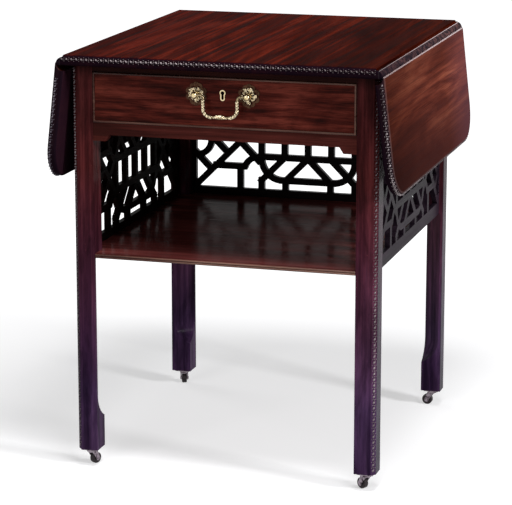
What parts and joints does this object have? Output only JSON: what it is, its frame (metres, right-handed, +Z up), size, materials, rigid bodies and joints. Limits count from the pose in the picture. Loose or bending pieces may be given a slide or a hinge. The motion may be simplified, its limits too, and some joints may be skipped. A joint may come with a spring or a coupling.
{
  "type": "supper table",
  "caption": "Drop-leaf supper table with a frieze drawer, an open shelf enclosed by pierced fretwork panels, and square stop-chamfered legs on castors.",
  "frame": {"origin": "on the floor under the middle of the table", "axes": "+Z up, the drawer faces -Y, the leaves hang along +X and -X"},
  "size_m": [0.5962, 0.62, 0.711],
  "materials": {
    "top": "polished mahogany",
    "leaf": "polished mahogany",
    "leg": "polished mahogany, darkened",
    "rail": "polished mahogany",
    "fret": "polished mahogany, darkened",
    "shelf": "polished mahogany",
    "drawer_front": "polished mahogany",
    "cock_bead": "polished mahogany",
    "secondary_wood": "plain oak",
    "hinge_iron": "wrought iron",
    "handle_brass": "antique gilt brass",
    "lock_brass": "old brass",
    "lock_iron": "iron",
    "caster_brass": "dark old brass",
    "caster_roller": "dark leather"
  },
  "bodies": {
    "body": {"leg_front_left": "leg", "leg_front_right": "leg", "leg_back_left": "leg", "leg_back_right": "leg", "side_rail_right": "rail", "side_rail_left": "rail", "back_rail": "rail", "drawer_rail": "rail", "corner_brackets": "rail", "top_rail": "rail", "drawer_runners": "secondary_wood", "drawer_kickers": "secondary_wood", "drawer_stops": "secondary_wood", "fret_right": "fret", "fret_left": "fret", "fret_back": "fret", "shelf": "shelf", "top_board": "top", "hinge_plates_top": "hinge_iron", "hinge_pins": "hinge_iron", "fly_blocks": "secondary_wood", "fly_pins": "hinge_iron", "caster_plates": "caster_brass"},
    "leaf_right": {"leaf_right": "leaf", "hinge_plates_right_leaf": "hinge_iron"},
    "leaf_left": {"leaf_left": "leaf", "hinge_plates_left_leaf": "hinge_iron"},
    "fly_right": {"fly_arm_right": "secondary_wood"},
    "fly_left": {"fly_arm_left": "secondary_wood"},
    "drawer": {"drawer_front": "drawer_front", "cock_bead": "cock_bead", "drawer_side_right": "secondary_wood", "drawer_side_left": "secondary_wood", "drawer_back": "secondary_wood", "drawer_bottom": "secondary_wood", "lock_case": "lock_brass", "escutcheon": "handle_brass", "handle_plate_left": "handle_brass", "handle_plate_right": "handle_brass", "handle_posts": "handle_brass", "handle_nuts": "handle_brass"},
    "bail": {"handle_bail": "handle_brass"},
    "lock_bolt": {"lock_bolt": "lock_iron"},
    "caster_front_left": {"caster_fork_front_left": "caster_brass", "caster_axle_front_left": "caster_brass"},
    "wheel_front_left": {"caster_wheel_front_left": "caster_roller"},
    "caster_front_right": {"caster_fork_front_right": "caster_brass", "caster_axle_front_right": "caster_brass"},
    "wheel_front_right": {"caster_wheel_front_right": "caster_roller"},
    "caster_back_left": {"caster_fork_back_left": "caster_brass", "caster_axle_back_left": "caster_brass"},
    "wheel_back_left": {"caster_wheel_back_left": "caster_roller"},
    "caster_back_right": {"caster_fork_back_right": "caster_brass", "caster_axle_back_right": "caster_brass"},
    "wheel_back_right": {"caster_wheel_back_right": "caster_roller"}
  },
  "joints": [
    {"name": "leaf_right_hinge", "type": "hinge", "parent": "body", "child": "leaf_right", "pos_m": [0.26203, 0, 0.6965], "axis": [0, -1, 0], "range_deg": [0, 83.5]},
    {"name": "leaf_left_hinge", "type": "hinge", "parent": "body", "child": "leaf_left", "pos_m": [-0.26203, 0, 0.6965], "axis": [0, 1, 0], "range_deg": [0, 83.5]},
    {"name": "fly_right_hinge", "type": "hinge", "parent": "body", "child": "fly_right", "pos_m": [0.245, -0.095, 0.6636], "axis": [0, 0, -1], "range_deg": [0, 2.4]},
    {"name": "fly_left_hinge", "type": "hinge", "parent": "body", "child": "fly_left", "pos_m": [-0.245, -0.095, 0.6636], "axis": [0, 0, 1], "range_deg": [0, 2.4]},
    {"name": "drawer_slide", "type": "slide", "parent": "body", "child": "drawer", "axis": [0, -1, 0], "range_m": [0, 0.36]},
    {"name": "bail_swing", "type": "hinge", "parent": "drawer", "child": "bail", "pos_m": [0, -0.287, 0.652], "axis": [-1, 0, 0], "range_deg": [-12, 100]},
    {"name": "lock_throw", "type": "slide", "parent": "drawer", "child": "lock_bolt", "axis": [0, 0, 1], "range_m": [0, 0.005]},
    {"name": "swivel_front_left", "type": "hinge", "parent": "body", "child": "caster_front_left", "pos_m": [-0.242, -0.256, 0.025], "axis": [0, 0, 1], "continuous": true},
    {"name": "roll_front_left", "type": "hinge", "parent": "caster_front_left", "child": "wheel_front_left", "pos_m": [-0.2375, -0.24821, 0.0095], "axis": [-0.866, 0.5, 0], "continuous": true},
    {"name": "swivel_front_right", "type": "hinge", "parent": "body", "child": "caster_front_right", "pos_m": [0.242, -0.256, 0.025], "axis": [0, 0, 1], "continuous": true},
    {"name": "roll_front_right", "type": "hinge", "parent": "caster_front_right", "child": "wheel_front_right", "pos_m": [0.23421, -0.2515, 0.0095], "axis": [-0.5, -0.866, 0], "continuous": true},
    {"name": "swivel_back_left", "type": "hinge", "parent": "body", "child": "caster_back_left", "pos_m": [-0.242, 0.256, 0.025], "axis": [0, 0, 1], "continuous": true},
    {"name": "roll_back_left", "type": "hinge", "parent": "caster_back_left", "child": "wheel_back_left", "pos_m": [-0.24433, 0.26469, 0.0095], "axis": [-0.9659, -0.2588, 0], "continuous": true},
    {"name": "swivel_back_right", "type": "hinge", "parent": "body", "child": "caster_back_right", "pos_m": [0.242, 0.256, 0.025], "axis": [0, 0, 1], "continuous": true},
    {"name": "roll_back_right", "type": "hinge", "parent": "caster_back_right", "child": "wheel_back_right", "pos_m": [0.23303, 0.25678, 0.0095], "axis": [-0.0872, -0.9962, 0], "continuous": true}
  ]
}
